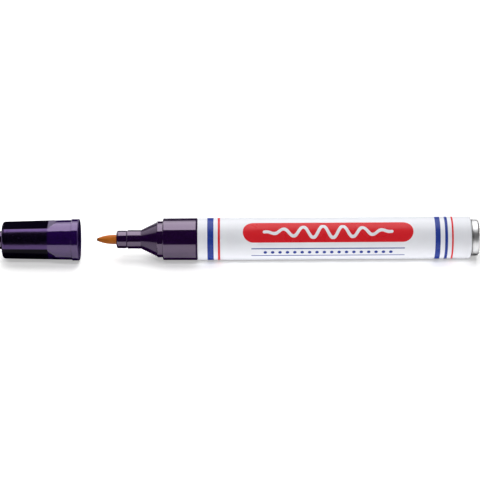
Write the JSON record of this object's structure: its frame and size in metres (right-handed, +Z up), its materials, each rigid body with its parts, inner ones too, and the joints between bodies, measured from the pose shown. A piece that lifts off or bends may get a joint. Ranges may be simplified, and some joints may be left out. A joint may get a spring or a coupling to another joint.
{
  "type": "marker pen",
  "caption": "Round felt marker lying uncapped: white metal barrel with a narrow bare tail, dark moulded grip and nose, bullet fibre nib, and a flat-sided cap that slides on.",
  "frame": {"origin": "middle of the whole length on the table under the pen, with the cap off as it lies beside the nib", "axes": "+X along the pen's axis from the cap and nib towards the tail, +Z up from the table"},
  "size_m": [0.1702, 0.015, 0.015],
  "materials": {
    "white_lacquer": "gloss lacquer on drawn aluminium, bare at the tail",
    "purple_plastic": "glossy moulded plastic",
    "nib_fibre": "bonded fibre",
    "ink_fibre": "soft fibre bundle",
    "wrap_film": "thin film",
    "liner_plastic": "soft moulded plastic"
  },
  "bodies": {
    "pen": {"barrel": "white_lacquer", "grip_section": "purple_plastic", "nib": "nib_fibre", "reservoir_core": "ink_fibre", "reservoir_film": "wrap_film"},
    "cap": {"cap_shell": "purple_plastic", "cap_liner": "liner_plastic"}
  },
  "joints": [
    {"name": "cap_slide", "type": "slide", "parent": "pen", "child": "cap", "axis": [1, 0, 0], "range_m": [0, 0.02945]}
  ]
}
